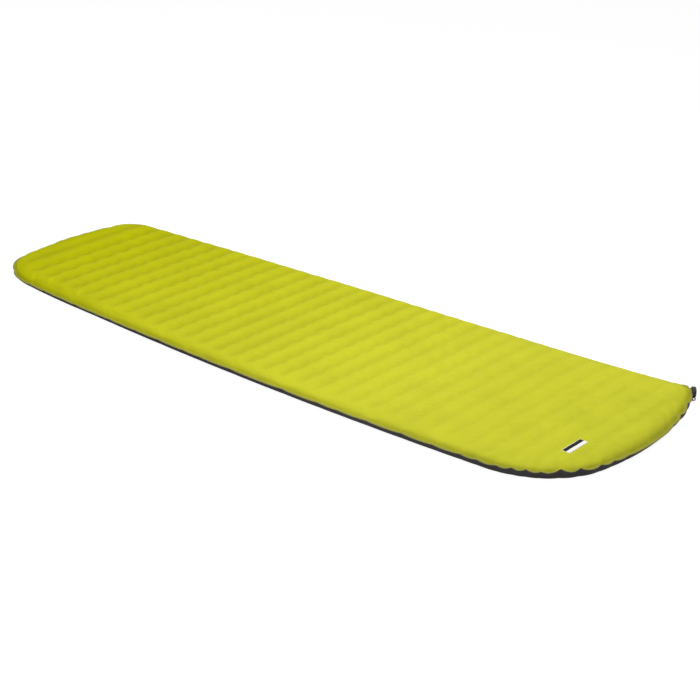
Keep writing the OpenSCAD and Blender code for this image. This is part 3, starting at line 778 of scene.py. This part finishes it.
def coated_polyester(name, foot, head, weld, roughness, gloss):
    """Cloth whose colour drifts from foot to head: the foot colour is painted shade, and a paler head
    colour is painted sheen; the weld attribute marks the pressed ribbon.
    """
    material, at = new_material(name)
    place = add(material, "SeparateXYZ", {0: at})
    # Painted light along the length: painted shade at the foot, painted sheen in a paler head colour
    drift = add(material, "MapRange", {"Value": (place, "X"), "From Min": -0.9, "From Max": 0.4})
    colour_with_painted_light = add(material, "Mix", {FACTOR: (drift, 0), COLOUR_A: colour(foot), COLOUR_B: colour(head)},
              data_type="RGBA")
    mottle = add(material, "TexNoise", {"Vector": at, "Scale": PATCHES, "Detail": 4.0})
    cloudy = add(material, "MapRange", {"Value": (mottle, 0), "From Min": 0.3, "From Max": 0.7,
                                        "To Min": 0.955, "To Max": 1.045})
    # Brightness: slow patches, a little less at the head end, and the mesh's painted shade and painted
    # highlight
    shade = add(material, "MapRange", {"Value": (place, "X"), "From Min": 0.25, "From Max": 0.85,
                                       "To Min": 0.0, "To Max": -0.05})
    even = add(material, "Math", {0: (cloudy, 0), 1: (shade, 0)}, operation="ADD")
    # Painted shade in the channels and beside the weld, painted highlight on the creases
    painted_shading_attr = add(material, "Attribute", attribute_name="channel")
    value = add(material, "Math", {0: (painted_shading_attr, "Fac"), 1: -0.17, 2: (even, 0)}, operation="MULTIPLY_ADD")
    cloth = add(material, "HueSaturation", {"Value": (value, 0), "Color": (colour_with_painted_light, MIXED)})
    mark = add(material, "Attribute", attribute_name="weld")
    base = add(material, "Mix", {FACTOR: (mark, "Fac"), COLOUR_A: (cloth, 0), COLOUR_B: colour(weld)},
               data_type="RGBA")
    # Surface: threads both ways, with the crinkles over them
    weft = add(material, "TexWave", {"Vector": at, "Scale": WEAVE}, bands_direction="X")
    warp = add(material, "TexWave", {"Vector": at, "Scale": WEAVE}, bands_direction="Y")
    weave = add(material, "Math", {0: (weft, "Fac"), 1: (warp, "Fac")}, operation="MULTIPLY")
    crinkle = add(material, "TexNoise", {"Vector": at, "Scale": CRINKLES, "Detail": 5.0})
    fine = add(material, "Bump", {"Height": (weave, 0), "Strength": 0.5, "Distance": 0.00006})
    bump = add(material, "Bump", {"Height": (crinkle, 0), "Normal": (fine, 0), "Strength": 0.7,
                                  "Distance": 0.0014})
    rough = add(material, "MapRange", {"Value": (crinkle, 0), "To Min": roughness - 0.06,
                                       "To Max": roughness + 0.06})
    shader = add(material, "BsdfPrincipled", {"Base Color": (base, MIXED), "Roughness": (rough, 0),
                                              "Normal": (bump, 0), "Specular IOR Level": gloss})
    return finish_material(material, shader)


# Lime: the deep foot is painted shade, the paler bluer head painted sheen; grey: the near-black foot is
# painted shadow
lime_cloth = coated_polyester("lime coated polyester", "B9BA00", "C6C732", "84824A", 0.6, 0.02)
grey_cloth = coated_polyester("grey coated polyester", "1C1A1A", "4A4646", "5A5654", 0.62, 0.12)
pad_top.data.materials.append(lime_cloth)
pad_bottom.data.materials.append(grey_cloth)

# %% [markdown]
# ## Woven label and its thread
# The label is a satin ribbon, woven white with one dark band along it. Ribs about 0.4 mm apart give it
# a silky grain; they are drawn at 1.2 mm. The band could be a piece of its own, but it is woven in, so
# two comparisons on the coordinates mark it. The thread is twisted polyester, a little glossier, with
# a turn about every half millimetre.

# %% Woven label
# Middle and half size of the dark band, in metres along x and y
BAND_X, BAND_Y = (0.8085, 0.0051), (-0.131, 0.0382)
material, at = new_material("white satin ribbon")
place = add(material, "SeparateXYZ", {0: at})
across = add(material, "Math", {0: (place, "X"), 1: BAND_X[0], 2: BAND_X[1]}, operation="COMPARE")
along = add(material, "Math", {0: (place, "Y"), 1: BAND_Y[0], 2: BAND_Y[1]}, operation="COMPARE")
dark = add(material, "Math", {0: (across, 0), 1: (along, 0)}, operation="MULTIPLY")
face = add(material, "Mix", {FACTOR: (dark, 0), COLOUR_A: colour("EFEFE6"), COLOUR_B: colour("0C0A0E")},
           data_type="RGBA")
ribs = add(material, "TexWave", {"Vector": at, "Scale": wave_scale(1.2)}, bands_direction="Y")
bump = add(material, "Bump", {"Height": (ribs, "Fac"), "Strength": 0.4, "Distance": 0.0001})
shader = add(material, "BsdfPrincipled", {"Base Color": (face, MIXED), "Roughness": 0.6,
                                          "Normal": (bump, 0), "Specular IOR Level": 0.1})
label_patch.data.materials.append(finish_material(material, shader))

material, at = new_material("white polyester thread")
twist = add(material, "TexWave", {"Vector": at, "Scale": wave_scale(0.5)}, bands_direction="DIAGONAL")
tone = add(material, "Mix", {FACTOR: (twist, "Fac"), COLOUR_A: colour("D8D8CE"),
                             COLOUR_B: colour("F2F2EA")}, data_type="RGBA")
bump = add(material, "Bump", {"Height": (twist, "Fac"), "Strength": 0.5, "Distance": 0.0001})
shader = add(material, "BsdfPrincipled", {"Base Color": (tone, MIXED), "Roughness": 0.55,
                                          "Normal": (bump, 0)})
label_stitches.data.materials.append(finish_material(material, shader))

# %% [markdown]
# ## Polyurethane foam
# Open-cell foam is a net of bubbles about half a millimetre across, which scatters light and looks
# chalky. Noise would do for the colour, but a Voronoi texture has the cells as well. They are drawn at
# 3 mm, 330 to a metre, so that they show.

# %% Polyurethane foam
CELLS_PER_METRE = 330.0
material, at = new_material("open-cell polyurethane foam")
cells = add(material, "TexVoronoi", {"Vector": at, "Scale": CELLS_PER_METRE})
tone = add(material, "Mix", {FACTOR: (cells, 0), COLOUR_A: colour("CFC49A"), COLOUR_B: colour("EAE2C4")},
           data_type="RGBA")
bump = add(material, "Bump", {"Height": (cells, 0), "Strength": 0.6, "Distance": 0.001})
shader = add(material, "BsdfPrincipled", {"Base Color": (tone, MIXED), "Roughness": 0.95,
                                          "Normal": (bump, 0), "Specular IOR Level": 0.2})
foam_slab.data.materials.append(finish_material(material, shader))

# %% [markdown]
# ## Moulded plastics and rubber
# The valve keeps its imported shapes; only the finish is new. Nylon comes out of a spark-eroded mould
# with a grain of about 0.3 mm, drawn at 0.9 mm so that it shows. Acetal is smoother and waxier, and
# silicone rubber is matt with a bloom of dust. Handling leaves paler scuffs about 4 mm across. Each
# could have its own nodes, but they differ only in colour, grain and shine, so one function makes them.

# %% Moulded plastics and rubber
SCUFFS_PER_METRE = 260.0


def moulded(name, face, worn, grain_mm, roughness, depth_mm):
    """Moulded plastic or rubber with a grain and paler scuffs."""
    material, at = new_material(name)
    grain = add(material, "TexNoise", {"Vector": at, "Scale": 1 / (grain_mm * MM), "Detail": 3.0})
    scuff = add(material, "TexNoise", {"Vector": at, "Scale": SCUFFS_PER_METRE, "Detail": 5.0})
    rub = add(material, "MapRange", {"Value": (scuff, 0), "From Min": 0.52, "From Max": 0.75})
    base = add(material, "Mix", {FACTOR: (rub, 0), COLOUR_A: colour(face), COLOUR_B: colour(worn)},
               data_type="RGBA")
    rough = add(material, "MapRange", {"Value": (grain, 0), "To Min": roughness - 0.08,
                                       "To Max": roughness + 0.08})
    bump = add(material, "Bump", {"Height": (grain, 0), "Strength": 0.5, "Distance": depth_mm * MM})
    shader = add(material, "BsdfPrincipled", {"Base Color": (base, MIXED), "Roughness": (rough, 0),
                                              "Normal": (bump, 0), "Specular IOR Level": 0.3})
    return finish_material(material, shader)


nylon = moulded("moulded black nylon", "2B2B2D", "48484A", 0.9, 0.48, 0.06)
knob_nylon = moulded("moulded grey nylon", "242426", "404042", 0.9, 0.45, 0.06)
acetal = moulded("moulded grey acetal", "5C5E62", "74767A", 1.5, 0.36, 0.03)
rubber = moulded("black silicone rubber", "161616", "2C2C2C", 0.6, 0.72, 0.04)

# %% [markdown]
# ## Spring steel, and dressing the valve
# The two clips are stamped from spring steel, and rolling leaves fine lines in it, drawn here about a
# millimetre apart and squeezed together along z. With that every finish is there, and each piece of
# the valve gets its own in place of the plain one it came with.

# %% Spring steel
LINES_PER_METRE, SQUEEZE = 900.0, (1.0, 1.0, 12.0)
material, at = new_material("rolled spring steel")
stretch = add(material, "Mapping", {"Vector": at, "Scale": SQUEEZE})
lines = add(material, "TexNoise", {"Vector": (stretch, 0), "Scale": LINES_PER_METRE, "Detail": 3.0})
rough = add(material, "MapRange", {"Value": (lines, 0), "To Min": 0.26, "To Max": 0.42})
tone = add(material, "Mix", {FACTOR: (lines, 0), COLOUR_A: colour("A8A8AA"), COLOUR_B: colour("C4C4C6")},
           data_type="RGBA")
shader = add(material, "BsdfPrincipled", {"Base Color": (tone, MIXED), "Roughness": (rough, 0),
                                          "Metallic": 1.0})
steel = finish_material(material, shader)

FINISHES = {"valve_body": nylon, "twist_knob": knob_nylon, "plunger": acetal, "foam_guard": acetal,
            "stem_seal_ring": rubber, "plunger_seal": rubber, "stop_clip": steel, "knob_clip": steel}
for node, finish in FINISHES.items():
    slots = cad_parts[node].data.materials
    slots.clear()
    slots.append(finish)
print(len(FINISHES), "pieces of the valve dressed")

# %% [markdown]
# ## Floor
# The pad lies on a pale paper sweep. To the camera the floor is white, but it still takes part of its
# brightness from the lamps, so it keeps the pad's soft shadow; a floor that only glows would leave the
# pad floating. For all other light it is plain pale paper, so it throws no more light on the pad than
# paper would. Its fibres are a millimetre or two long and are drawn at 2.5 mm, 400 to a metre.

# %% Floor
FLOOR_HALF, FLOOR_Z = 9, -0.0006
FIBRES_PER_METRE = 400.0


def shown_white(material):
    """1 for light that shows the surface itself: to the camera, in a reflection or through glass."""
    path = add(material, "LightPath")
    seen = add(material, "Math", {0: (path, "Is Camera Ray"), 1: (path, "Is Glossy Ray")},
               operation="MAXIMUM")
    return add(material, "Math", {0: (seen, 0), 1: (path, "Is Transmission Ray")}, operation="MAXIMUM")


floor_bm = bmesh.new()
bmesh.ops.create_grid(floor_bm, x_segments=24, y_segments=24, size=FLOOR_HALF)
for v in floor_bm.verts:
    v.co.z = FLOOR_Z
floor_mesh = bpy.data.meshes.new("studio_floor")
floor_bm.to_mesh(floor_mesh)
floor_bm.free()
floor = bpy.data.objects.new("studio_floor", floor_mesh)
bpy.context.scene.collection.objects.link(floor)

material, at = new_material("white paper sweep")
fibre = add(material, "TexNoise", {"Vector": at, "Scale": FIBRES_PER_METRE, "Detail": 2.0})
tone = add(material, "Mix", {FACTOR: (fibre, 0), COLOUR_A: colour("F0F0F0"), COLOUR_B: colour("F6F6F6")},
           data_type="RGBA")
paper = add(material, "BsdfDiffuse", {"Color": (tone, MIXED)})
glow = add(material, "Emission", {"Color": (1, 1, 1, 1), "Strength": 0.925})
shadow = add(material, "BsdfDiffuse", {"Color": (0.2, 0.2, 0.2, 1)})
white = add(material, "AddShader", {0: (glow, 0), 1: (shadow, 0)})
mixed = add(material, "MixShader", {0: (shown_white(material), 0), 1: (paper, 0), 2: (white, 0)})
floor.data.materials.append(finish_material(material, mixed))

# %% [markdown]
# ## Lamps
# Soft studio light comes from two area lamps. One wide softbox hangs overhead, a little towards the
# head, and a weaker one fills the near side from the front. A single lamp would leave the dark sheet
# under the weld too black, and spot lamps would draw hard shadows between the loaves.

# %% Lamps
def softbox(name, place, aim, size, watts):
    """A rectangular area lamp that looks from its place to the aim."""
    lamp = bpy.data.objects.new(name, bpy.data.lights.new(name, "AREA"))
    lamp.data.shape = "RECTANGLE"
    lamp.data.size, lamp.data.size_y = size
    lamp.data.energy = watts
    lamp.location = place
    lamp.rotation_mode = "QUATERNION"
    lamp.rotation_quaternion = (Vector(aim) - Vector(place)).to_track_quat("-Z", "Y")
    bpy.context.scene.collection.objects.link(lamp)
    print(name, watts, "W")


softbox("overhead softbox", (0.25, 0.2, 2.2), (0.25, 0.1, 0), (3.0, 1.2), 50)
softbox("front fill", (0.2, -2.6, 1.5), (0.1, 0, 0), (2.6, 1.0), 21)

# %% [markdown]
# ## Sky
# The sky fills the shadows with even, weak light. To the camera it is white like the floor, so the two
# meet without a line. A bright sky alone would be white too, but it would wash out the pad's colour.

# %% Sky
SKY_LIGHT, SKY_SHOWN = 0.25, 1.0
sky = bpy.data.worlds.new("studio sky")
bpy.context.scene.world = sky
sky.use_nodes = True
sky.node_tree.nodes.clear()
light = add(sky, "Background", {"Color": (1, 1, 1, 1), "Strength": SKY_LIGHT})
white = add(sky, "Background", {"Color": (1, 1, 1, 1), "Strength": SKY_SHOWN})
both = add(sky, "MixShader", {0: (shown_white(sky), 0), 1: (light, 0), 2: (white, 0)})
add(sky, "OutputWorld", {"Surface": (both, 0)})
print("sky light", SKY_LIGHT)
